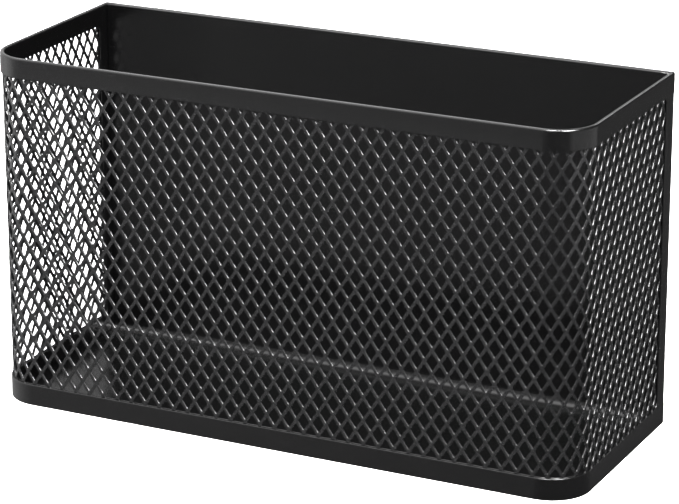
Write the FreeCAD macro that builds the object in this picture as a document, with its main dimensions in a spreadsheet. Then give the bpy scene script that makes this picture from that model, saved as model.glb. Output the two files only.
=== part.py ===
import FreeCAD, Part
import math
import os

import Sketcher
from FreeCAD import Vector

# Desk organizer: an open bin of diamond mesh wrapped round the front and both sides of a solid
# back and floor. Folded channels bind the edges of the mesh.
# Frame: +Z up, the front faces -Y, X runs along the width, the origin is the middle of the
# rectangle that the bin stands on. All sizes are in millimetres.

doc = FreeCAD.newDocument("DeskOrganizer")

# ---------------------------------------------------------------- driving dimensions
sizes = doc.addObject("Spreadsheet::Sheet", "Sizes")
drivingSizes = [
    ("width", 200.0),             # outside, side to side
    ("depth", 75.2),              # outside, front to back
    ("height", 114.6),            # outside, floor to rim
    ("cornerRadius", 13.0),       # outside, the two front corners
    ("rearCornerRadius", 1.0),    # outside, the two rear corners of the channels
    ("channelStock", 0.5),        # sheet that the channels are folded from
    ("meshStock", 0.5),           # flattened diamond mesh
    ("panelStock", 0.8),          # sheet of the back and floor
    ("rimBand", 6.6),             # height of the channel round the top
    ("baseBand", 7.0),            # height of the channel round the bottom
    ("rimRound", 0.7),            # roundness of the folded top edge
    ("baseRound", 0.35),          # roundness of the folded bottom edge
    ("stripWidth", 6.2),          # front to back, the two upright channels at the rear
    ("stripSetback", 0.5),        # rear faces of the uprights, ahead of the rear of the bands
    ("stripFlare", 2.4),          # rounding where an upright widens onto the bands at both ends
    ("floorBend", 2.2),           # inside radius of the bend between back and floor
    ("cellWidth", 5.045),         # diamonds, side to side
    ("cellHeight", 7.556),        # diamonds, top to bottom
    ("strandWidth", 1.0),         # metal between two diamonds
    ("crossingLevel", 7.54),      # height of one row of crossings that has one at mid-width
]
for row, (alias, value) in enumerate(drivingSizes, start=1):
    sizes.set("A%d" % row, alias)
    sizes.set("B%d" % row, "%.4f" % value)
    sizes.setAlias("B%d" % row, alias)
doc.recompute()


def size(alias):
    """The value of one cell, for the pieces that are not features of a body."""
    return float(sizes.get(alias))


# ---------------------------------------------------------------- helpers for the bodies
def newBody(name):
    body = doc.addObject("PartDesign::Body", name)
    body.Label = name
    return body


def attachedSketch(body, name, plane, offset="0"):
    """A sketch on one of the body's own origin planes, moved along its normal by an expression."""
    sketch = body.newObject("Sketcher::SketchObject", name)
    role = [item for item in body.Origin.OriginFeatures if item.Role == plane][0]
    sketch.AttachmentSupport = [(role, "")]
    sketch.MapMode = "FlatFace"
    sketch.setExpression(".AttachmentOffset.Base.z", offset)
    return sketch


def bind(sketch, constraint, name, expression):
    """Adds a dimension, names it and ties it to the sheet."""
    index = sketch.addConstraint(constraint)
    sketch.renameConstraint(index, name)
    sketch.setExpression("Constraints." + name, expression)


def addLoop(sketch, tag, inset, frontRadius, rearRadius=None, rear=None):
    """A rectangle seen from above, rounded at the front, and at the rear if it has a rear radius.

    inset, the radii and rear are expressions; inset is the distance inside the outer walls."""
    gap = sizeOf(inset)
    halfX = size("width") / 2 - gap
    frontY = -size("depth") / 2 + gap
    rearY = sizeOf(rear) if rear else size("depth") / 2 - gap
    corners = [(halfX, frontY), (halfX, rearY), (-halfX, rearY), (-halfX, frontY)]
    rearValue = sizeOf(rearRadius) if rearRadius else 0.0
    radii = [sizeOf(frontRadius), rearValue, rearValue, sizeOf(frontRadius)]
    # directions of travel into and out of each corner, starting at the front right one
    entering = [(1, 0), (0, 1), (-1, 0), (0, -1)]
    leaving = [(0, 1), (-1, 0), (0, -1), (1, 0)]
    starts = []
    ends = []
    for (x, y), radius, into, out in zip(corners, radii, entering, leaving):
        starts.append(Vector(x - into[0] * radius, y - into[1] * radius, 0))
        ends.append(Vector(x + out[0] * radius, y + out[1] * radius, 0))
    sides = []
    for k in range(4):
        sides.append(sketch.addGeometry(Part.LineSegment(ends[k - 1], starts[k])))
    for k in range(4):
        before = sides[k]
        after = sides[(k + 1) % 4]
        if radii[k] == 0:
            sketch.addConstraint(Sketcher.Constraint("Coincident", before, 2, after, 1))
            continue
        centre = Vector(
            starts[k].x + leaving[k][0] * radii[k], starts[k].y + leaving[k][1] * radii[k], 0
        )
        startAngle = math.radians(-90 + 90 * k)
        circle = Part.Circle(centre, Vector(0, 0, 1), radii[k])
        arc = sketch.addGeometry(Part.ArcOfCircle(circle, startAngle, startAngle + math.pi / 2))
        sketch.addConstraint(Sketcher.Constraint("Tangent", before, 2, arc, 1))
        sketch.addConstraint(Sketcher.Constraint("Tangent", arc, 2, after, 1))
        radiusText = frontRadius if k in (0, 3) else rearRadius
        bind(sketch, Sketcher.Constraint("Radius", arc, radii[k]), "%sRadius%d" % (tag, k), radiusText)
    front, right, back, left = sides
    for side in (front, back):
        sketch.addConstraint(Sketcher.Constraint("Horizontal", side))
    for side in (right, left):
        sketch.addConstraint(Sketcher.Constraint("Vertical", side))
    rearText = rear if rear else "Sizes.depth / 2 - (%s)" % inset
    bind(sketch, Sketcher.Constraint("DistanceX", -1, 1, right, 1, halfX), tag + "Right",
         "Sizes.width / 2 - (%s)" % inset)
    bind(sketch, Sketcher.Constraint("DistanceX", left, 1, -1, 1, halfX), tag + "Left",
         "Sizes.width / 2 - (%s)" % inset)
    bind(sketch, Sketcher.Constraint("DistanceY", front, 1, -1, 1, -frontY), tag + "Front",
         "Sizes.depth / 2 - (%s)" % inset)
    bind(sketch, Sketcher.Constraint("DistanceY", -1, 1, back, 1, rearY), tag + "Rear", rearText)


def sizeOf(expression):
    """Works out an expression on the sheet, for a sketch's first guess."""
    return float(sizes.evalExpression(expression))


def pad(body, sketch, length, reversed_=False):
    feature = body.newObject("PartDesign::Pad", sketch.Name + "Pad")
    feature.Profile = sketch
    feature.Reversed = reversed_
    feature.setExpression("Length", length)
    sketch.Visibility = False
    doc.recompute()
    return feature


def pocket(body, sketch, length, upward=True):
    """Cuts along the sketch's normal when upward, against it when not; checks that it cut."""
    before = body.Shape.Volume
    feature = body.newObject("PartDesign::Pocket", sketch.Name + "Pocket")
    feature.Profile = sketch
    feature.Reversed = upward
    feature.setExpression("Length", length)
    sketch.Visibility = False
    doc.recompute()
    if body.Shape.Volume >= before - 0.01:
        raise RuntimeError(sketch.Name + " cuts nothing")
    return feature


def roundEdges(body, base, wanted, radius):
    """Rounds the edges of a feature whose middle point passes the test."""
    names = []
    for number, edge in enumerate(base.Shape.Edges, start=1):
        middle = edge.valueAt((edge.FirstParameter + edge.LastParameter) / 2)
        if wanted(middle, edge):
            names.append("Edge%d" % number)
    fillet = body.newObject("PartDesign::Fillet", body.Name + "Round")
    fillet.Base = (base, names)
    fillet.setExpression("Radius", radius)
    doc.recompute()
    return fillet


# ---------------------------------------------------------------- channels round the top and base
channelThickness = "2 * Sizes.channelStock + Sizes.meshStock"
slotNear = "Sizes.channelStock"
slotFar = "Sizes.channelStock + Sizes.meshStock"


def frontRadiusAt(inset):
    return "Sizes.cornerRadius - (%s)" % inset


def bandChannel(name, bandHeight, lowest, slotLowest, edgeLevel, edgeRadius):
    """A closed channel folded over one edge of the mesh, with the same section all round."""
    body = newBody(name)
    ring = attachedSketch(body, name + "Ring", "XY_Plane", lowest)
    addLoop(ring, "outer", "0", "Sizes.cornerRadius", "Sizes.rearCornerRadius")
    addLoop(ring, "inner", channelThickness, frontRadiusAt(channelThickness))
    doc.recompute()
    pad(body, ring, bandHeight)
    slot = attachedSketch(body, name + "Slot", "XY_Plane", slotLowest)
    addLoop(slot, "near", slotNear, frontRadiusAt(slotNear))
    addLoop(slot, "far", slotFar, frontRadiusAt(slotFar))
    doc.recompute()
    cut = pocket(body, slot, bandHeight + " - Sizes.channelStock")
    level = sizeOf(edgeLevel)

    def onFold(middle, edge):
        return abs(middle.z - level) < 1e-4 and edge.BoundBox.ZLength < 1e-4

    body.Tip = roundEdges(body, cut, onFold, edgeRadius)
    return body


topChannel = bandChannel("top_channel", "Sizes.rimBand", "Sizes.height - Sizes.rimBand",
                         "Sizes.height - Sizes.rimBand", "Sizes.height", "Sizes.rimRound")
baseChannel = bandChannel("base_channel", "Sizes.baseBand", "0",
                          "Sizes.channelStock", "0", "Sizes.baseRound")


# ---------------------------------------------------------------- back and floor, one bent sheet
def backAndFloor():
    """One sheet, bent between back and floor: the floor fills the base channel's outline."""
    body = newBody("back_floor_sheet")
    floor = attachedSketch(body, "FloorOutline", "XY_Plane")
    addLoop(floor, "floor", channelThickness, frontRadiusAt(channelThickness))
    doc.recompute()
    pad(body, floor, "Sizes.height - 0.1")
    # the hollow is everything ahead of the back, above the floor, with the bend left in its corner
    hollow = attachedSketch(body, "HollowProfile", "YZ_Plane", "-Sizes.width / 2")
    bend = size("floorBend")
    rearY = size("depth") / 2 - sizeOf(channelThickness) - size("panelStock")
    frontY = -size("depth") / 2 - 5.0
    lowZ = size("panelStock")
    highZ = size("height") + 5.0
    points = [
        Vector(frontY, lowZ, 0), Vector(rearY - bend, lowZ, 0), Vector(rearY, lowZ + bend, 0),
        Vector(rearY, highZ, 0), Vector(frontY, highZ, 0),
    ]
    floorLine = hollow.addGeometry(Part.LineSegment(points[0], points[1]))
    circle = Part.Circle(Vector(rearY - bend, lowZ + bend, 0), Vector(0, 0, 1), bend)
    bendArc = hollow.addGeometry(Part.ArcOfCircle(circle, -math.pi / 2, 0))
    backLine = hollow.addGeometry(Part.LineSegment(points[2], points[3]))
    topLine = hollow.addGeometry(Part.LineSegment(points[3], points[4]))
    frontLine = hollow.addGeometry(Part.LineSegment(points[4], points[0]))
    hollow.addConstraint(Sketcher.Constraint("Tangent", floorLine, 2, bendArc, 1))
    hollow.addConstraint(Sketcher.Constraint("Tangent", bendArc, 2, backLine, 1))
    for first, second in ((backLine, topLine), (topLine, frontLine), (frontLine, floorLine)):
        hollow.addConstraint(Sketcher.Constraint("Coincident", first, 2, second, 1))
    for line in (floorLine, topLine):
        hollow.addConstraint(Sketcher.Constraint("Horizontal", line))
    for line in (backLine, frontLine):
        hollow.addConstraint(Sketcher.Constraint("Vertical", line))
    bind(hollow, Sketcher.Constraint("Radius", bendArc, bend), "bend", "Sizes.floorBend")
    bind(hollow, Sketcher.Constraint("DistanceX", -1, 1, backLine, 1, rearY), "backFace",
         "Sizes.depth / 2 - (%s) - Sizes.panelStock" % channelThickness)
    bind(hollow, Sketcher.Constraint("DistanceY", -1, 1, floorLine, 1, lowZ), "floorTop",
         "Sizes.panelStock")
    bind(hollow, Sketcher.Constraint("DistanceX", frontLine, 1, -1, 1, -frontY), "pastFront",
         "Sizes.depth / 2 + 5")
    bind(hollow, Sketcher.Constraint("DistanceY", -1, 1, topLine, 1, highZ), "pastTop",
         "Sizes.height + 5")
    doc.recompute()
    cut = pocket(body, hollow, "Sizes.width")
    # the outside of the bend follows the inside at the thickness of the sheet
    rearFace = size("depth") / 2 - sizeOf(channelThickness)

    def underBend(middle, edge):
        return abs(middle.z) < 1e-4 and abs(middle.y - rearFace) < 1e-4

    body.Tip = roundEdges(body, cut, underBend, "Sizes.floorBend + Sizes.panelStock")
    return body


backFloor = backAndFloor()


# ---------------------------------------------------------------- upright channels at the rear
def uprightChannel(name, side):
    """A channel that closes the rear edge of the mesh on one side; side is +1 right, -1 left."""
    body = newBody(name)
    outerX = size("width") / 2
    edge = attachedSketch(body, name + "Profile", "YZ_Plane", "%d * Sizes.width / 2" % side)
    rearY = size("depth") / 2 - size("stripSetback")
    frontY = rearY - size("stripWidth")
    lowZ = size("baseBand")
    highZ = size("height") - size("rimBand")
    flare = size("stripFlare")
    foot = edge.addGeometry(
        Part.LineSegment(Vector(frontY - flare, lowZ, 0), Vector(rearY, lowZ, 0)))
    rearLine = edge.addGeometry(
        Part.LineSegment(Vector(rearY, lowZ, 0), Vector(rearY, highZ, 0)))
    headLine = edge.addGeometry(
        Part.LineSegment(Vector(rearY, highZ, 0), Vector(frontY - flare, highZ, 0)))
    frontLine = edge.addGeometry(
        Part.LineSegment(Vector(frontY, highZ - flare, 0), Vector(frontY, lowZ + flare, 0)))
    lowCircle = Part.Circle(Vector(frontY - flare, lowZ + flare, 0), Vector(0, 0, 1), flare)
    lowArc = edge.addGeometry(Part.ArcOfCircle(lowCircle, -math.pi / 2, 0))
    highCircle = Part.Circle(Vector(frontY - flare, highZ - flare, 0), Vector(0, 0, 1), flare)
    highArc = edge.addGeometry(Part.ArcOfCircle(highCircle, 0, math.pi / 2))
    for first, second in ((foot, rearLine), (rearLine, headLine)):
        edge.addConstraint(Sketcher.Constraint("Coincident", first, 2, second, 1))
    edge.addConstraint(Sketcher.Constraint("Tangent", lowArc, 2, frontLine, 2))
    edge.addConstraint(Sketcher.Constraint("Coincident", lowArc, 1, foot, 1))
    edge.addConstraint(Sketcher.Constraint("Tangent", highArc, 1, frontLine, 1))
    edge.addConstraint(Sketcher.Constraint("Coincident", highArc, 2, headLine, 2))
    for line in (foot, headLine):
        edge.addConstraint(Sketcher.Constraint("Horizontal", line))
    for line in (rearLine, frontLine):
        edge.addConstraint(Sketcher.Constraint("Vertical", line))
    bind(edge, Sketcher.Constraint("Radius", lowArc, flare), "lowFlare", "Sizes.stripFlare")
    bind(edge, Sketcher.Constraint("Radius", highArc, flare), "highFlare", "Sizes.stripFlare")
    bind(edge, Sketcher.Constraint("DistanceX", foot, 1, frontLine, 2, flare), "lowReach",
         "Sizes.stripFlare")
    bind(edge, Sketcher.Constraint("DistanceX", headLine, 2, frontLine, 1, flare), "highReach",
         "Sizes.stripFlare")
    bind(edge, Sketcher.Constraint("DistanceX", frontLine, 1, rearLine, 1, rearY - frontY), "strip",
         "Sizes.stripWidth")
    bind(edge, Sketcher.Constraint("DistanceX", -1, 1, rearLine, 1, rearY), "rearFace",
         "Sizes.depth / 2 - Sizes.stripSetback")
    bind(edge, Sketcher.Constraint("DistanceY", -1, 1, foot, 1, lowZ), "foot", "Sizes.baseBand")
    bind(edge, Sketcher.Constraint("DistanceY", -1, 1, headLine, 1, highZ), "head",
         "Sizes.height - Sizes.rimBand")
    doc.recompute()
    pad(body, edge, channelThickness, reversed_=(side > 0))
    slot = attachedSketch(body, name + "Slot", "XY_Plane", "Sizes.baseBand")
    near = outerX - sizeOf(slotNear)
    far = outerX - sizeOf(slotFar)
    xs = sorted((side * near, side * far))
    slotRear = rearY - size("channelStock")
    slotFront = frontY - flare - 1.0
    corners = [Vector(xs[0], slotFront, 0), Vector(xs[1], slotFront, 0),
               Vector(xs[1], slotRear, 0), Vector(xs[0], slotRear, 0)]
    lines = []
    for k in range(4):
        lines.append(slot.addGeometry(Part.LineSegment(corners[k], corners[(k + 1) % 4])))
    for k in range(4):
        slot.addConstraint(Sketcher.Constraint("Coincident", lines[k], 2, lines[(k + 1) % 4], 1))
        kind = "Horizontal" if k % 2 == 0 else "Vertical"
        slot.addConstraint(Sketcher.Constraint(kind, lines[k]))
    lowText, highText = ("Sizes.width / 2 - (%s)" % slotFar, "Sizes.width / 2 - (%s)" % slotNear)
    if side > 0:
        bind(slot, Sketcher.Constraint("DistanceX", -1, 1, lines[0], 1, xs[0]), "slotNear", lowText)
        bind(slot, Sketcher.Constraint("DistanceX", -1, 1, lines[0], 2, xs[1]), "slotFar", highText)
    else:
        bind(slot, Sketcher.Constraint("DistanceX", lines[0], 1, -1, 1, -xs[0]), "slotNear", highText)
        bind(slot, Sketcher.Constraint("DistanceX", lines[0], 2, -1, 1, -xs[1]), "slotFar", lowText)
    bind(slot, Sketcher.Constraint("DistanceY", -1, 1, lines[2], 1, slotRear), "slotRear",
         "Sizes.depth / 2 - Sizes.stripSetback - Sizes.channelStock")
    bind(slot, Sketcher.Constraint("DistanceY", -1, 1, lines[0], 1, slotFront), "slotFront",
         "Sizes.depth / 2 - Sizes.stripSetback - Sizes.stripWidth - Sizes.stripFlare - 1")
    doc.recompute()
    body.Tip = pocket(body, slot, "Sizes.height")
    return body


rightUpright = uprightChannel("right_upright", 1)
leftUpright = uprightChannel("left_upright", -1)


# ---------------------------------------------------------------- the mesh, one wrapped sheet
def meshBlank():
    """The mesh before its diamonds are opened: a sheet wrapped round the front and the sides."""
    body = newBody("mesh_blank")
    rearEdge = "Sizes.depth / 2 - Sizes.stripSetback - Sizes.channelStock"
    outline = attachedSketch(body, "MeshOutline", "XY_Plane", "Sizes.channelStock")
    addLoop(outline, "mesh", slotNear, frontRadiusAt(slotNear), rear=rearEdge)
    doc.recompute()
    pad(body, outline, "Sizes.height - 2 * Sizes.channelStock")
    inside = attachedSketch(body, "MeshInside", "XY_Plane", "0")
    addLoop(inside, "inside", slotFar, frontRadiusAt(slotFar), rear=rearEdge + " + 5")
    doc.recompute()
    body.Tip = pocket(body, inside, "Sizes.height")
    return body


def placeOnSheet(along):
    """Where a distance along the mesh, from mid-front, lands: the point and the outward normal."""
    gap = size("channelStock")
    radius = size("cornerRadius") - gap
    halfFlat = size("width") / 2 - size("cornerRadius")
    frontY = -size("depth") / 2 + gap
    side = 1 if along >= 0 else -1
    reach = abs(along)
    quarter = radius * math.pi / 2
    if reach <= halfFlat:
        return Vector(along, frontY, 0), Vector(0, -1, 0)
    if reach <= halfFlat + quarter:
        turn = (reach - halfFlat) / radius
        normal = Vector(side * math.sin(turn), -math.cos(turn), 0)
        return Vector(side * halfFlat, frontY + radius, 0) + normal * radius, normal
    onward = reach - halfFlat - quarter
    return Vector(side * (size("width") / 2 - gap), frontY + radius + onward, 0), Vector(side, 0, 0)


def diamondTools():
    """One prism for every diamond that shows between the channels, square to the sheet there."""
    cellWidth = size("cellWidth")
    cellHeight = size("cellHeight")
    # a strand of constant width leaves a diamond whose half sizes are the cell's, less its share
    slope = math.atan2(cellHeight, cellWidth)
    halfWide = cellWidth / 2 - size("strandWidth") / 2 / math.sin(slope)
    halfTall = cellHeight / 2 - size("strandWidth") / 2 / math.cos(slope)
    radius = size("cornerRadius") - size("channelStock")
    frontHalf = size("width") / 2 - size("cornerRadius") + radius * math.pi / 2
    sideRun = size("depth") - size("cornerRadius") - size("stripSetback") - size("stripWidth")
    lastAlong = frontHalf + sideRun
    lowest = size("baseBand")
    highest = size("height") - size("rimBand")
    through = 3 * size("meshStock")
    tools = []
    for halfRow in range(0, int(2 * size("height") / cellHeight) + 1):
        level = size("crossingLevel") + (halfRow - 1) * cellHeight / 2
        if level + halfTall < lowest or level - halfTall > highest:
            continue
        shift = 0.5 if halfRow % 2 == 1 else 0.0
        columns = int(lastAlong / cellWidth) + 2
        for column in range(-columns, columns + 1):
            along = (column + shift) * cellWidth
            if abs(along) > lastAlong + halfWide:
                continue
            point, normal = placeOnSheet(along)
            across = Vector(-normal.y, normal.x, 0)
            centre = Vector(point.x, point.y, level) + normal * size("meshStock")
            corners = [
                centre + across * halfWide, centre + Vector(0, 0, halfTall),
                centre - across * halfWide, centre - Vector(0, 0, halfTall),
            ]
            wire = Part.makePolygon(corners + corners[:1])
            tools.append(Part.Face(wire).extrude(normal * -through))
    return tools


blank = meshBlank()
diamonds = doc.addObject("Part::Feature", "diamond_openings")
diamonds.Shape = Part.makeCompound(diamondTools())
meshWall = doc.addObject("Part::Cut", "mesh_wall")
meshWall.Label = "mesh_wall"
meshWall.Base = blank
meshWall.Tool = diamonds
doc.recompute()

# ---------------------------------------------------------------- checks and files
pieces = [backFloor, meshWall, topChannel, baseChannel, leftUpright, rightUpright]
for item in doc.Objects:
    if "Invalid" in item.State or "Error" in item.State:
        raise RuntimeError("%s failed: %s" % (item.Label, item.State))
for piece in pieces:
    if piece.Shape.isNull() or not piece.Shape.isValid():
        raise RuntimeError(piece.Label + " has no valid shape")

os.makedirs("parts", exist_ok=True)
for piece in pieces:
    piece.Shape.exportStep("parts/%s.step" % piece.Label)
    box = piece.Shape.BoundBox
    print("%-18s %d solid  %9.1f mm3  x %.1f..%.1f  y %.1f..%.1f  z %.1f..%.1f" % (
        piece.Label, len(piece.Shape.Solids), piece.Shape.Volume,
        box.XMin, box.XMax, box.YMin, box.YMax, box.ZMin, box.ZMax))
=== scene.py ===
import math

import bpy
import numpy as np
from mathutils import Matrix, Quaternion, Vector


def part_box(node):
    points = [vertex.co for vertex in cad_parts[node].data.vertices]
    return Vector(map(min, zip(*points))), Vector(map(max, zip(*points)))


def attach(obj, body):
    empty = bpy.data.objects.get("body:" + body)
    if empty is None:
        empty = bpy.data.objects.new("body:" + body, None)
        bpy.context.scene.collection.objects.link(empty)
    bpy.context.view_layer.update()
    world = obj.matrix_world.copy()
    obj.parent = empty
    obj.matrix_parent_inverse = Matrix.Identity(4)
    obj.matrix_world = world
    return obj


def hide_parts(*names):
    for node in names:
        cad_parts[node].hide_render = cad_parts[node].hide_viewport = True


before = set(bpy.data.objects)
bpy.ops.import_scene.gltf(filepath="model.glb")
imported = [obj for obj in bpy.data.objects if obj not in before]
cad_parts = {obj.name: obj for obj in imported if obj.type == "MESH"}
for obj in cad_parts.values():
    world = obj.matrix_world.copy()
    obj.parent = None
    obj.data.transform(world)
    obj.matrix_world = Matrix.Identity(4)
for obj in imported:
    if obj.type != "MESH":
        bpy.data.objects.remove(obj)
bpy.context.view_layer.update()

mm = 0.001


def corner(node, side):
    # one end of a node's box as an array: side 0 is the lowest corner, 1 the highest
    return np.array(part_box(node)[side], float)


# Where the bin's walls are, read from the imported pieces.
halfWidth = corner("top_channel", 1)[0]
halfDepth = corner("top_channel", 1)[1]
rimLevel = corner("top_channel", 1)[2]
rimBandFoot = corner("top_channel", 0)[2]
baseBandTop = corner("base_channel", 1)[2]
sheetDepth = halfWidth - corner("mesh_wall", 1)[0]        # mesh behind the face of the bands
uprightRear = corner("right_upright", 1)[1]
uprightFront = corner("right_upright", 0)[1]
bandThickness = halfWidth - corner("right_upright", 0)[0]
panelRear = corner("back_floor_sheet", 1)[1]


def gridQuads(rows, columns, wrapRows=False, wrapColumns=False):
    # quads between neighbouring points of a grid whose point (i, j) is number i * columns + j
    i = np.arange(rows if wrapRows else rows - 1)[:, None]
    j = np.arange(columns if wrapColumns else columns - 1)[None, :]
    nextI = (i + 1) % rows
    nextJ = (j + 1) % columns
    quads = np.stack([i * columns + j, i * columns + nextJ,
                      nextI * columns + nextJ, nextI * columns + j], -1)
    return quads.reshape(-1, 4)


def buildPiece(name, points, faces, material, node, normals):
    # points is an (n, 3) array in metres; faces is a list of arrays, one for each number of corners;
    # normals are the directions in which the shading takes the surface to face, one for each point
    mesh = bpy.data.meshes.new(name)
    sizes = np.concatenate([np.full(len(f), f.shape[1]) for f in faces])
    loops = np.concatenate([f.ravel() for f in faces])
    starts = np.concatenate([[0], np.cumsum(sizes)[:-1]])
    mesh.vertices.add(len(points))
    mesh.vertices.foreach_set("co", np.asarray(points, np.float32).ravel())
    mesh.loops.add(len(loops))
    mesh.loops.foreach_set("vertex_index", loops.astype(np.int32))
    mesh.polygons.add(len(sizes))
    mesh.polygons.foreach_set("loop_start", starts.astype(np.int32))
    mesh.polygons.foreach_set("use_smooth", np.ones(len(sizes), bool))
    mesh.update(calc_edges=True)
    mesh.validate()
    mesh.normals_split_custom_set_from_vertices(normals.tolist())
    mesh.materials.append(material)
    piece = bpy.data.objects.new(name, mesh)
    bpy.context.scene.collection.objects.link(piece)
    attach(piece, "root")
    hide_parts(node)
    print(name, len(points), "points", int((sizes - 2).sum()), "triangles")


bands = {
    "stock": 0.5 * mm,
    "frontRadius": 13.0 * mm,
    "rearRadius": 0.8 * mm,
    "leastRadius": 0.05 * mm,     # where the depth would leave a rear corner none
    "rimFold": 0.68 * mm,
    "baseFold": 0.30 * mm,
    "arcSteps": 24,
    "flatSteps": 24,
    "foldSteps": 8,
    "endSteps": 6,
}


def roundedPaths(depths):
    # The bands' plan at each depth in from their face, anticlockwise from above: four straight runs
    # joined by quarter circles, large at the front and small at the rear. A circle's radius is the
    # face's less the depth, so the plans stay parallel. Returns the points, by place and depth, and
    # the plan's normal at each place.
    rounds, spread = [], []
    corners = [(1, -1, bands["frontRadius"], -90), (1, 1, bands["rearRadius"], 0),
               (-1, 1, bands["rearRadius"], 90), (-1, -1, bands["frontRadius"], 180)]
    for sx, sy, radius, start in corners:
        turn = np.radians(start + np.linspace(0, 90, bands["arcSteps"] + 1))
        normal = np.stack([np.cos(turn), np.sin(turn)], -1)
        radii = np.maximum(radius - depths, bands["leastRadius"])
        centre = np.stack([sx * (halfWidth - depths - radii), sy * (halfDepth - depths - radii)], -1)
        rounds.append(centre[None, :, :] + radii[None, :, None] * normal[:, None, :])
        spread.append(normal)
    points, normals = [], []
    t = np.linspace(0, 1, bands["flatSteps"] + 1)[1:-1, None, None]
    for k in range(len(corners)):
        here, there = rounds[k], rounds[(k + 1) % len(corners)]
        points += [here, here[-1] + t * (there[0] - here[-1])]
        normals += [spread[k], np.repeat(spread[k][-1:], len(t), 0)]
    return np.concatenate(points), np.concatenate(normals)


def hairpin(thickness, stock, length, fold, steps, endSteps):
    # The section of a folded channel: each point's distance in from the face and distance below the
    # fold, and the same two for its normal. Outside, two quarter circles round the fold; inside, a half
    # circle ends the slot; a half circle closes each leg. The points run along the outside, round the
    # far leg's end, along the inside and round the near leg's end, and the outer and inner runs have
    # the same number of points.
    half = stock / 2
    quarter = np.linspace(0, math.pi / 2, steps + 1)
    whole = np.linspace(0, math.pi, 2 * steps + 2)
    swing = np.linspace(0, math.pi, endSteps + 1)
    slot = (thickness - 2 * stock) / 2
    cos, sin = np.cos, np.sin
    legEnd = length - half + half * sin(swing)
    runs = [
        (fold - fold * cos(quarter), fold - fold * sin(quarter), -cos(quarter), -sin(quarter)),
        (thickness - fold + fold * sin(quarter), fold - fold * cos(quarter),
         sin(quarter), -cos(quarter)),
        (thickness - half + half * cos(swing), legEnd, cos(swing), sin(swing)),
        (thickness / 2 + slot * cos(whole), stock + slot - slot * sin(whole),
         -cos(whole), sin(whole)),
        (half + half * cos(swing), legEnd, cos(swing), sin(swing)),
    ]
    return [np.concatenate(column) for column in zip(*runs)]


class Socket:
    # wraps a node's output, so that arithmetic on it adds Math nodes; node() adds any other kind
    def __init__(self, tree, output=None):
        self.tree, self.output = tree, output

    def node(self, kind, settings=None, values=None, output=0):
        made = self.tree.nodes.new(kind)
        for key, value in (settings or {}).items():
            setattr(made, key, value)
        for key, value in (values or {}).items():
            if isinstance(value, Socket):
                self.tree.links.new(value.output, made.inputs[key])
            else:
                made.inputs[key].default_value = value
        return Socket(self.tree, made.outputs[output] if made.outputs else None)

    def maths(self, operation, a, b):
        return self.node("ShaderNodeMath", {"operation": operation}, {0: a, 1: b})

    def __add__(self, other): return self.maths("ADD", self, other)
    def __radd__(self, other): return self.maths("ADD", other, self)
    def __sub__(self, other): return self.maths("SUBTRACT", self, other)
    def __rsub__(self, other): return self.maths("SUBTRACT", other, self)
    def __mul__(self, other): return self.maths("MULTIPLY", self, other)
    def __rmul__(self, other): return self.maths("MULTIPLY", other, self)


def emptyTree(owner):
    # the node tree of a new material or world, ready for nodes
    owner.use_nodes = True
    owner.node_tree.nodes.clear()
    return Socket(owner.node_tree)


coat = {
    "colour": 0.0022,
    "bloom": 0.0034,               # slightly greyer where the powder built up
    "rubbed": 0.0060,              # and where hands have rubbed the edges
    "blueness": 1.04,              # blue, against red and green
    "cloudSize": 18 * mm,
    "cloudDetail": 3.0,
    "roughness": 0.22,
    "roughnessSpread": 0.05,
    "rubbedPolish": 0.04,          # how much smoother a rubbed edge is
    "edgeStart": 0.53,             # pointedness where rubbing starts, and where it is full
    "edgeFull": 0.62,
    "specular": 0.5,
    "peelSize": 0.9 * mm,          # ripple of the coat, like fine orange peel
    "peelDepth": 0.010 * mm,
    "peelDetail": 1.5,
    "grainSize": 0.12 * mm,
    "grainDepth": 0.0016 * mm,
    "grainDetail": 2.0,
}


def mixColours(shop, share, first, second):
    # the first colour where share is 0, the second where it is 1; a colour Mix has its colours at
    # inputs 6 and 7 and its result at output 2
    values = {0: share, 6: first, 7: second}
    return shop.node("ShaderNodeMix", {"data_type": "RGBA"}, values, output=2)


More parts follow.
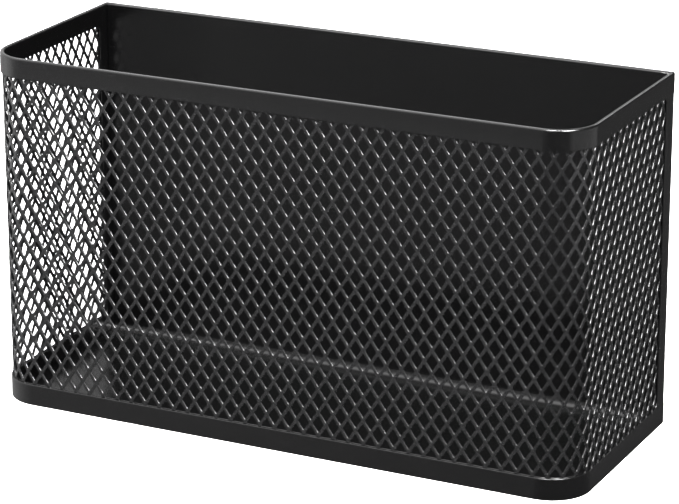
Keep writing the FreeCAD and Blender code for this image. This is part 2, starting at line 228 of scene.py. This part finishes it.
def powderCoat(name, peel=1.0, paintedLightLevel=1.0, smoother=0.0):
    # Black powder coat: cloudy in colour and gloss, rippled and grainy, and rubbed along its edges.
    # The rubbing is how pointed the surface is, eased between two limits, times the cloud. The height
    # is the ripple times its depth plus the grain times its own.
    material = bpy.data.materials.new(name)
    shop = emptyTree(material)
    # paintedLightLevel scales all three colours of the one black coat: above 1 it paints light into the
    # coat, below 1 it paints shade
    dark, pale, worn = [(grey * paintedLightLevel, grey * paintedLightLevel, coat["blueness"] * grey * paintedLightLevel, 1.0)
                        for grey in (coat["colour"], coat["bloom"], coat["rubbed"])]
    place = shop.node("ShaderNodeTexCoord", output="Object")
    cloud, ripple, speck = [
        shop.node("ShaderNodeTexNoise", {}, {
            "Vector": place, "Scale": 1 / coat[kind + "Size"], "Detail": coat[kind + "Detail"]})
        for kind in ("cloud", "peel", "grain")
    ]
    pointed = shop.node("ShaderNodeNewGeometry", output="Pointiness")
    edge = shop.node("ShaderNodeMapRange", {"interpolation_type": "SMOOTHSTEP"}, {
        "Value": pointed, "From Min": coat["edgeStart"], "From Max": coat["edgeFull"]})
    rubbed = edge * cloud
    height = ripple * (coat["peelDepth"] * peel) + speck * coat["grainDepth"]
    bump = shop.node("ShaderNodeBump", {}, {"Height": height, "Strength": 1.0, "Distance": 1.0})
    colour = mixColours(shop, rubbed, mixColours(shop, cloud, dark, pale), worn)
    level = coat["roughness"] - smoother - coat["roughnessSpread"] / 2
    roughness = level + cloud * coat["roughnessSpread"] - rubbed * coat["rubbedPolish"]
    shader = shop.node("ShaderNodeBsdfPrincipled", {}, {
        "Base Color": colour, "Roughness": roughness, "Normal": bump,
        "Specular IOR Level": coat["specular"],
    })
    shop.node("ShaderNodeOutputMaterial", {}, {"Surface": shader})
    print(name, "ready")
    return material


# the bands' and the back-and-floor sheet's copies of the coat are darkened to 0.3: painted shade
bandCoatPaintedShade = powderCoat("bandCoatPaintedShade", paintedLightLevel=0.3)
sheetCoatPaintedShade = powderCoat("sheetCoatPaintedShade", paintedLightLevel=0.3)
# the mesh's copy of the coat is lightened 1.3 times: painted light on the strands' faces
meshCoatPaintedLight = powderCoat("meshCoatPaintedLight", peel=0.2, paintedLightLevel=1.3, smoother=0.05)


def bandPiece(name, node, foldLevel, length, fold, upward):
    # The section is carried round the plan: a point's depth picks its path, and its level is the
    # fold's less its drop. upward is 1 where the fold is the top and -1 where it is the bottom.
    depth, drop, sideways, downward = hairpin(bandThickness, bands["stock"], length, fold,
                                              bands["foldSteps"], bands["endSteps"])
    plan, outward = roundedPaths(depth)
    level = np.broadcast_to(foldLevel - upward * drop, plan.shape[:2])
    points = np.concatenate([plan, level[..., None]], -1)
    flat = -sideways[None, :, None] * outward[:, None, :]
    steep = np.broadcast_to(-upward * downward, plan.shape[:2])
    normals = np.concatenate([flat, steep[..., None]], -1)
    quads = gridQuads(len(outward), len(depth), True, True)
    if upward > 0:
        quads = quads[:, ::-1]
    buildPiece(name, points.reshape(-1, 3), [quads], bandCoatPaintedShade, node,
               normals.reshape(-1, 3))


bandPiece("rimBand", "top_channel", rimLevel, rimLevel - rimBandFoot, bands["rimFold"], 1)
bandPiece("baseBand", "base_channel", 0.0, baseBandTop, bands["baseFold"], -1)

uprights = {
    "stock": 0.5 * mm,
    "fold": 0.5 * mm,
    "flare": 2.4 * mm,
    "tuck": 0.5 * mm,          # how far the upright runs behind each band's edge
    "inset": 0.03 * mm,        # its faces behind the faces of the bands
    "flareSteps": 14,
    "levels": 40,
    "foldSteps": 6,
    "endSteps": 6,
}


def uprightPiece(name, node, side):
    # The hairpin section lies on its side: its fold is the rear face and its legs reach forward. A
    # leg's reach is the narrow one plus the flare times one less the sine of a quarter turn, and the
    # level moves by the flare times one less its cosine, which rounds the corner of the opening.
    flare, tuck = uprights["flare"], uprights["tuck"]
    narrow = uprightRear - uprightFront - flare
    turn = np.linspace(0, math.pi / 2, uprights["flareSteps"] + 1)
    rise = flare * (1 - np.cos(turn))
    straight = np.linspace(baseBandTop + flare, rimBandFoot - flare, uprights["levels"] + 1)[1:-1]
    full = np.full(len(straight), 1.0)
    levels = np.concatenate([[baseBandTop - tuck], baseBandTop + rise, straight,
                             rimBandFoot - rise[::-1], [rimBandFoot + tuck]])
    forward = np.concatenate([[0], np.sin(turn), full, np.sin(turn)[::-1], [0]])
    steep = np.concatenate([[1], np.cos(turn), 0 * full, -np.cos(turn)[::-1], [-1]])
    reach = narrow + flare * (1 - forward)
    thickness = bandThickness - 2 * uprights["inset"]
    depth, drop, sideways, downward = hairpin(thickness, uprights["stock"], 0.0, uprights["fold"],
                                              uprights["foldSteps"], uprights["endSteps"])
    folds = 2 * uprights["foldSteps"] + 2            # points on the outer run, and on the inner one
    ends = uprights["endSteps"] + 1                  # and round a leg's end
    longLeg = np.zeros(len(depth))
    longLeg[folds:folds + ends] = 1
    longLeg[2 * folds + ends:] = 1
    flat = np.ones((len(levels), len(depth)))
    x = side * (halfWidth - uprights["inset"] - depth) * flat
    y = uprightRear - drop - longLeg * reach[:, None]
    z = levels[:, None] * flat
    lead = np.where(longLeg > 0, forward[:, None], 1.0)
    climb = np.where(longLeg > 0, steep[:, None], 0.0)
    normals = np.stack([-side * sideways * flat, -downward * lead, downward * climb], -1)
    quads = gridQuads(len(levels), len(depth), False, True)
    # each end is a ribbon of quads between the outer and inner runs, and a half disc at each leg
    outer = np.arange(folds)
    inner = 2 * folds + ends - 1 - outer
    ribbon = np.stack([outer[:-1], outer[1:], inner[1:], inner[:-1]], -1)
    discs = np.stack([folds + np.arange(ends), 2 * folds + ends + np.arange(ends)])
    joint = np.array([[folds - 1, folds, folds + ends - 1, folds + ends],
                      [2 * folds + ends - 1, 2 * folds + ends, 2 * folds + 2 * ends - 1, 0]])
    last = (len(levels) - 1) * len(depth)
    faces = [np.concatenate([quads, ribbon[:, ::-1], joint[:, ::-1], ribbon + last, joint + last]),
             np.concatenate([discs[:, ::-1], discs + last])]
    if side < 0:
        faces = [f[:, ::-1] for f in faces]
    points = np.stack([x, y, z], -1)
    buildPiece(name, points.reshape(-1, 3), faces, bandCoatPaintedShade, node,
               normals.reshape(-1, 3))


uprightPiece("rightUpright", "right_upright", 1)
uprightPiece("leftUpright", "left_upright", -1)

panel = {
    "stock": 0.8 * mm,
    "bend": 2.9 * mm,          # inside radius between back and floor
    "bendSteps": 12,
    "cornerSteps": 24,
    "acrossSteps": 60,
    "floorSteps": 12,
    "backSteps": 48,
    "edgeSteps": 4,
    "belowRim": 0.1 * mm,
}


def panelPiece():
    # A strip runs from the front of the floor, round the bend and up the back. Its half width at
    # each place is the full one, less the front corners' quarter circles. The strip is drawn half a
    # sheet either side of its middle surface, and a half round edge joins the two faces.
    half = panel["stock"] / 2
    cornerRadius = bands["frontRadius"] - bandThickness
    front = -halfDepth + bandThickness
    rear = panelRear - half
    wide = halfWidth - bandThickness
    bend = panel["bend"] + half
    slide = cornerRadius * (1 - np.cos(np.linspace(0, math.pi / 2, panel["cornerSteps"] + 1)))
    floorY = np.concatenate([
        front + half + slide * (cornerRadius - half) / cornerRadius,
        np.linspace(front + cornerRadius, rear - bend, panel["floorSteps"] + 1)[1:],
    ])
    turn = np.linspace(0, math.pi / 2, panel["bendSteps"] + 1)[1:]
    bendY = rear - bend + bend * np.sin(turn)
    bendZ = half + bend * (1 - np.cos(turn))
    backTop = rimLevel - panel["belowRim"] - half
    backZ = np.linspace(half + bend, backTop, panel["backSteps"] + 1)[1:]
    y = np.concatenate([floorY, bendY, np.full(len(backZ), rear)])
    z = np.concatenate([np.full(len(floorY), half), bendZ, backZ])
    ny = np.concatenate([np.zeros(len(floorY)), -np.sin(turn), np.full(len(backZ), -1.0)])
    nz = np.concatenate([np.ones(len(floorY)), np.cos(turn), np.zeros(len(backZ))])
    into = np.clip(front + cornerRadius - y, 0, cornerRadius - half)
    reach = wide - cornerRadius + np.sqrt((cornerRadius - half) ** 2 - into ** 2)
    reach = np.where(y > front + cornerRadius, wide - half, reach)
    v = np.linspace(-1, 1, panel["acrossSteps"] + 1)
    rows, columns = len(y), len(v)
    x = reach[:, None] * v[None, :]
    middle = np.stack([x, y[:, None] + 0 * x, z[:, None] + 0 * x], -1)
    normal = np.stack([0 * x, ny[:, None] + 0 * x, nz[:, None] + 0 * x], -1)
    # border points in order round the strip, and the direction that leads off its edge
    i = np.arange(rows)
    j = np.arange(columns)
    border = np.concatenate([
        np.stack([0 * j[:-1], j[:-1]], -1), np.stack([i[:-1], 0 * i[:-1] + columns - 1], -1),
        np.stack([0 * j[:0:-1] + rows - 1, j[:0:-1]], -1), np.stack([i[:0:-1], 0 * i[:0:-1]], -1),
    ])
    edge = middle[border[:, 0], border[:, 1]]
    up = normal[border[:, 0], border[:, 1]]
    along = np.roll(edge, -1, 0) - np.roll(edge, 1, 0)
    off = np.cross(along, up)
    off /= np.linalg.norm(off, axis=1)[:, None]
    swing = np.linspace(0, math.pi, panel["edgeSteps"] + 1)[1:-1]
    tilts = [np.cos(a) * up + np.sin(a) * off for a in swing]
    upper, lower = normal.reshape(-1, 3), -normal.reshape(-1, 3)
    centres = middle.reshape(-1, 3)
    points = np.concatenate([centres + half * upper, centres + half * lower]
                            + [edge + half * tilt for tilt in tilts])
    normals = np.concatenate([upper, lower] + tilts)
    top = gridQuads(rows, columns)
    faces = [top, top[:, ::-1] + rows * columns]
    borderIndex = border[:, 0] * columns + border[:, 1]
    count = len(border)
    chain = [borderIndex]
    chain += [2 * rows * columns + k * count + np.arange(count) for k in range(len(swing))]
    chain += [borderIndex + rows * columns]
    for near, far in zip(chain[:-1], chain[1:]):
        faces.append(np.stack([near, far, np.roll(far, -1), np.roll(near, -1)], -1))
    buildPiece("backAndFloor", points, [np.concatenate(faces)], sheetCoatPaintedShade, "back_floor_sheet",
               normals)


panelPiece()

diamond = {
    "cellWidth": 5.062 * mm,
    "cellHeight": 7.556 * mm,
    "strand": 1.0 * mm,
    "stock": 0.5 * mm,
    "crossingLevel": 7.45 * mm,   # one row of crossings, with a crossing at mid-width
    "sideRound": 0.32 * mm,       # roundness of the openings' left and right corners
    "tipRound": 0.18 * mm,        # and of their tops and bottoms
    "slant": 0.052 * mm,          # how far a strand's rounded edge reaches across it
    "slantDepth": 0.20 * mm,      # and how deep
    "edgeRound": 0.04 * mm,       # softness where the rounding meets the face
    "outerTilt": 42.0,            # degrees from the sheet's facing to the rounding's at its outer end
    "innerTilt": 59.0,            # and at its deep end
    "bow": 8.0,                   # degrees by which the openings' sides bow outwards at each end
    "slide": 0.20 * mm,           # how far the pattern stands to the right of mid-width
    "margin": 0.9 * mm,           # between the outermost openings and the base or the rim's top
    "crowding": 1.094,            # how much closer the openings stand round the corners
}


def wallPlace(along, depth):
    # A distance along the mesh's outer face, from mid-front, goes straight to the corner, round it on
    # a quarter circle, then straight back along the side; depth is measured in from that face. Returns
    # the point and the face's normal there, both seen from above.
    gap = sheetDepth
    radius = bands["frontRadius"] - gap
    flat = halfWidth - bands["frontRadius"]
    side = np.sign(along)
    reach = np.abs(along)
    arc = diamond["crowding"] * radius
    turn = np.clip((reach - flat) / arc, 0, math.pi / 2)
    onward = np.maximum(reach - flat - arc * math.pi / 2, 0)
    normal = np.stack([side * np.sin(turn), -np.cos(turn)], -1)
    x = side * (np.minimum(reach, flat) + (radius - depth) * np.sin(turn))
    y = -halfDepth + gap + radius - (radius - depth) * np.cos(turn) + onward
    return np.stack([x, y], -1), normal


def placed(along, level, depth):
    # points of the mesh, and their normals: the place along the wall, and the level as it is
    flat, normal = wallPlace(along, depth)
    return (np.concatenate([flat, level[..., None]], -1),
            np.concatenate([normal, 0 * level[..., None]], -1))


def meshPiece():
    # Every opening is a diamond with rounded corners. Twelve points ring it, three to a corner, at
    # four depths: the edge of the outer face, the two ends of the rounding, and the inner face. The
    # strands' faces join the first and last rings to the four crossings round the opening, which
    # neighbours share. A corner's point is its centre plus the softness times the cosine and sine of
    # the wall's angle there.
    cellW, cellH = diamond["cellWidth"], diamond["cellHeight"]
    slope = math.atan2(cellH, cellW)
    lean = math.pi / 2 - slope                       # the walls' normals, off the level
    gap = cellW / 2 * math.cos(lean) - diamond["strand"] / 2
    starts = np.array([-lean, lean, math.pi - lean, math.pi + lean])
    spans = np.array([2 * lean, math.pi - 2 * lean, 2 * lean, math.pi - 2 * lean])
    angle = (starts[:, None] + spans[:, None] * np.array([0, 0.5, 1])[None, :]).ravel()
    softness = np.repeat([diamond["sideRound"], diamond["tipRound"]] * 2, 3)
    tipU = np.repeat([1, 0, -1, 0], 3) * (gap - softness) / math.cos(lean)
    tipV = np.repeat([0, 1, 0, -1], 3) * (gap - softness) / math.sin(lean)
    outU, outV = np.cos(angle), np.sin(angle)
    ringU = tipU + softness * outU
    ringV = tipV + softness * outV

    arc = diamond["crowding"] * (bands["frontRadius"] - sheetDepth)
    lastAlong = halfWidth - bands["frontRadius"] + arc * math.pi / 2
    lastAlong += uprightRear + halfDepth - bands["frontRadius"] - diamond["stock"] - uprights["stock"]
    lowest = diamond["margin"]
    highest = rimLevel - diamond["margin"]
    # half a cell is the step between columns and between rows; openings and crossings take turns
    columns = math.ceil(lastAlong / (cellW / 2))
    rows = math.ceil(highest / (cellH / 2))
    halfColumns, halfRows = np.meshgrid(np.arange(-columns, columns + 1), np.arange(-rows, rows + 1))
    isOpening = (halfColumns + halfRows) % 2 == 1
    u = halfColumns * cellW / 2 + diamond["slide"]
    v = diamond["crossingLevel"] + halfRows * cellH / 2
    fits = (np.abs(u) + cellW / 2 < lastAlong) & (v - cellH / 2 > lowest) & (v + cellH / 2 < highest)
    keep = isOpening & fits
    cu, cv = u[keep], v[keep]
    ci, cj = halfColumns[keep], halfRows[keep]
    cells = len(cu)

    # the crossings to the right of, above, left of and below each opening, each listed once
    stepI = np.array([1, 0, -1, 0])
    stepJ = np.array([0, 1, 0, -1])
    pairs = np.stack([ci[:, None] + stepI, cj[:, None] + stepJ], -1).reshape(-1, 2)
    known, crossing = np.unique(pairs, axis=0, return_inverse=True)
    crossing = crossing.reshape(cells, 4)
    knots = len(known)
    stock = diamond["stock"]
    soft, slant = diamond["edgeRound"], diamond["slant"]
    knotU = known[:, 0] * cellW / 2 + diamond["slide"]
    knotV = diamond["crossingLevel"] + known[:, 1] * cellH / 2
    outerKnots, knotNormals = placed(knotU, knotV, 0.0)
    innerKnots, _ = placed(knotU, knotV, stock)
    points = [outerKnots, innerKnots]
    normals = [knotNormals, -knotNormals]
    offsets = []
    start = 2 * knots
    around = len(angle)
    bow = math.radians(diamond["bow"]) * np.tile([1, 0, -1], 4)
    bowU, bowV = np.cos(angle + bow), np.sin(angle + bow)
    rings = (
        (0.0, slant + soft, 0.0),
        (soft / 2, slant, math.radians(diamond["outerTilt"])),
        (diamond["slantDepth"], 0.0, math.radians(diamond["innerTilt"])),
        (stock, 0.0, math.pi),
    )
    # each ring has its depth, how far it spreads from the opening, and how far its normals turn from
    # the sheet's towards the middle of the opening
    for depth, spread, tilt in rings:
        place, normal = placed(cu[:, None] + ringU + spread * outU,
                               cv[:, None] + ringV + spread * outV, depth)
        across = np.stack([-normal[..., 1], normal[..., 0]], -1)
        upward = np.broadcast_to(bowV, place.shape[:2])[..., None]
        inward = np.concatenate([-across * bowU[:, None], -upward], -1)
        normals.append((math.cos(tilt) * normal + math.sin(tilt) * inward).reshape(-1, 3))
        points.append(place.reshape(-1, 3))
        offsets.append(start + np.arange(cells)[:, None] * around)
        start += cells * around
    triangles, quads = [], []
    for knotShift, ring, flip in ((0, offsets[0], False), (knots, offsets[-1], True)):
        for k in range(4):
            knot = crossing[:, k:k + 1] + knotShift
            nextKnot = crossing[:, (k + 1) % 4:(k + 1) % 4 + 1] + knotShift
            first, middle, last = ring + 3 * k, ring + 3 * k + 1, ring + 3 * k + 2
            following = ring + (3 * k + 3) % around
            fans = [np.hstack([knot, middle, first]), np.hstack([knot, last, middle])]
            strip = np.hstack([knot, nextKnot, following, last])
            triangles += [f[:, ::-1] if flip else f for f in fans]
            quads.append(strip[:, ::-1] if flip else strip)
    for upper, lower in zip(offsets[:-1], offsets[1:]):
        for k in range(around):
            nextK = (k + 1) % around
            quads.append(np.hstack([upper + k, upper + nextK, lower + nextK, lower + k]))
    # the sheet's own edge: sides of cells that no neighbour shares
    sides = np.stack([crossing, np.roll(crossing, -1, 1)], -1).reshape(-1, 2)
    ordered = np.sort(sides, 1)
    sideNumber = ordered[:, 0] * knots + ordered[:, 1]
    _, inverse, counts = np.unique(sideNumber, return_inverse=True, return_counts=True)
    loose = sides[counts[inverse] == 1]
    quads.append(np.stack([loose[:, 1], loose[:, 0], loose[:, 0] + knots, loose[:, 1] + knots], -1))
    faces = [np.concatenate(triangles), np.concatenate(quads)]
    buildPiece("diamondMesh", np.concatenate(points), faces, meshCoatPaintedLight, "mesh_wall",
               np.concatenate(normals))
    print("openings", cells)


meshPiece()

studio = {
    "target": (0.00415, 0.00062, 0.05369),
    "azimuth": 26.2345,
    "elevation": 18.643,
    "distance": 0.97625,
    "lens": 165.43,
    "sensor": 36.0,
    "clipStart": 0.05,
    "roll": 0.07,
    "floorColour": (0.93, 0.93, 0.93, 1.0),
    "floorRoughness": 0.9,
    "floorReach": 6.0,
    "glow": (-1.2, -0.3, 1.3),          # towards the room's bright side, as long as it is bright
    "base": 0.125,                      # the room's even part
    "lightDistance": 1.6,
    "lights": {                         # azimuth, elevation, brightness and half angle
        "key": (57, 49, 70.0, 14.5),
        "low": (47, 19, 14.0, 9.0),
        "front": (9, 58, 75.0, 10.5),
        "rear": (176, 31, 8.0, 5.0),
        "rearLeft": (-137, 52, 5.0, 14.0),
        "overhead": (-60, 64, 1.2, 30.0),
        "backdrop": (-154, 16, 0.3, 14.0),
    },
    "panels": {                         # azimuth, width and brightness
        "rightPanel": (97, 0.37, 0.60),
        "leftPanel": (-74, 0.13, 0.50),
    },
    "panelFoot": 0.005,
    "panelTop": 0.085,
    "panelDistance": 0.20,
}


def awayFrom(azimuth, elevation=0.0):
    # the direction from the bin outwards: azimuth runs from the front towards the right, elevation up
    # from the desk, both in degrees
    a, e = math.radians(azimuth), math.radians(elevation)
    return Vector((math.sin(a) * math.cos(e), -math.cos(a) * math.cos(e), math.sin(e)))


def placeCamera():
    # The camera stands back from its target in the direction of its azimuth and elevation, looks at
    # the target, and is rolled a little about its line of sight.
    forward = -awayFrom(studio["azimuth"], studio["elevation"])
    data = bpy.data.cameras.new("studioCamera")
    data.lens = studio["lens"]
    data.sensor_width = studio["sensor"]
    data.clip_start = studio["clipStart"]
    camera = bpy.data.objects.new("studioCamera", data)
    camera.location = Vector(studio["target"]) - forward * studio["distance"]
    turn = Quaternion(forward, math.radians(studio["roll"])) @ forward.to_track_quat("-Z", "Y")
    camera.rotation_euler = turn.to_euler()
    bpy.context.scene.collection.objects.link(camera)
    bpy.context.scene.camera = camera


def placeFloor():
    # a plain pale square, level with the bin's foot and kept out of its reflections
    mesh = bpy.data.meshes.new("studioFloor")
    reach = studio["floorReach"]
    square = [(-reach, -reach, 0), (reach, -reach, 0), (reach, reach, 0), (-reach, reach, 0)]
    mesh.from_pydata(square, [], [(0, 1, 2, 3)])
    floor = bpy.data.objects.new("studioFloor", mesh)
    bpy.context.scene.collection.objects.link(floor)
    material = bpy.data.materials.new("studioFloor")
    shop = emptyTree(material)
    shader = shop.node("ShaderNodeBsdfPrincipled", {}, {
        "Base Color": studio["floorColour"], "Roughness": studio["floorRoughness"],
        "Specular IOR Level": 0.0,
    })
    shop.node("ShaderNodeOutputMaterial", {}, {"Surface": shader})
    mesh.materials.append(material)
    floor.visible_glossy = False


def hang(name, data, place, away):
    # puts a light at a place, facing against the direction away
    lamp = bpy.data.objects.new(name, data)
    lamp.location = place
    lamp.rotation_euler = (-away).to_track_quat("-Z", "Y").to_euler()
    bpy.context.scene.collection.objects.link(lamp)
    return lamp


def softbox(name, azimuth, elevation, radiance, spread):
    # A round soft light aimed at the bin. Its radius is its distance times the tangent of its spread,
    # half the angle that the bin sees it fill, and its power is pi times its area times its brightness.
    away = awayFrom(azimuth, elevation)
    radius = studio["lightDistance"] * math.tan(math.radians(spread))
    data = bpy.data.lights.new(name, "AREA")
    data.shape = "DISK"
    data.size = 2 * radius
    data.energy = math.pi * math.pi * radius ** 2 * radiance
    hang(name, data, Vector(studio["target"]) + away * studio["lightDistance"], away)


def sidePanel(name, azimuth, width, radiance):
    # A low upright panel that faces one of the bin's front corners. Its power is pi times its area
    # times its brightness.
    away = awayFrom(azimuth)
    foot, top = studio["panelFoot"], studio["panelTop"]
    data = bpy.data.lights.new(name, "AREA")
    data.shape = "RECTANGLE"
    data.size, data.size_y = width, top - foot
    data.energy = math.pi * width * (top - foot) * radiance
    across = math.copysign(halfWidth - bands["frontRadius"], azimuth)
    centre = Vector((across, bands["frontRadius"] - halfDepth, (foot + top) / 2))
    lamp = hang(name, data, centre + away * studio["panelDistance"], away)
    lamp.visible_camera = False


def placeWorld():
    # A dim studio, brighter overhead and to the left: the dot product of the direction looked in and
    # the glow, never less than nothing, over a faint even base.
    world = bpy.data.worlds.new("studioWorld")
    shop = emptyTree(world)
    place = shop.node("ShaderNodeTexCoord", output="Generated")
    facing = shop.node("ShaderNodeVectorMath", {"operation": "DOT_PRODUCT"},
                       {0: place, 1: studio["glow"]}, output="Value")
    level = shop.maths("MAXIMUM", facing, 0.0) + studio["base"]
    shader = shop.node("ShaderNodeBackground", {}, {"Color": (1.0, 1.0, 1.0, 1.0), "Strength": level})
    shop.node("ShaderNodeOutputWorld", {}, {"Surface": shader})
    bpy.context.scene.world = world


placeCamera()
placeFloor()
placeWorld()
for name, settings in studio["lights"].items():
    softbox(name, *settings)
for name, settings in studio["panels"].items():
    sidePanel(name, *settings)
bpy.context.scene.view_settings.view_transform = "Standard"
print("studio ready with", len(studio["lights"]) + len(studio["panels"]), "lights")
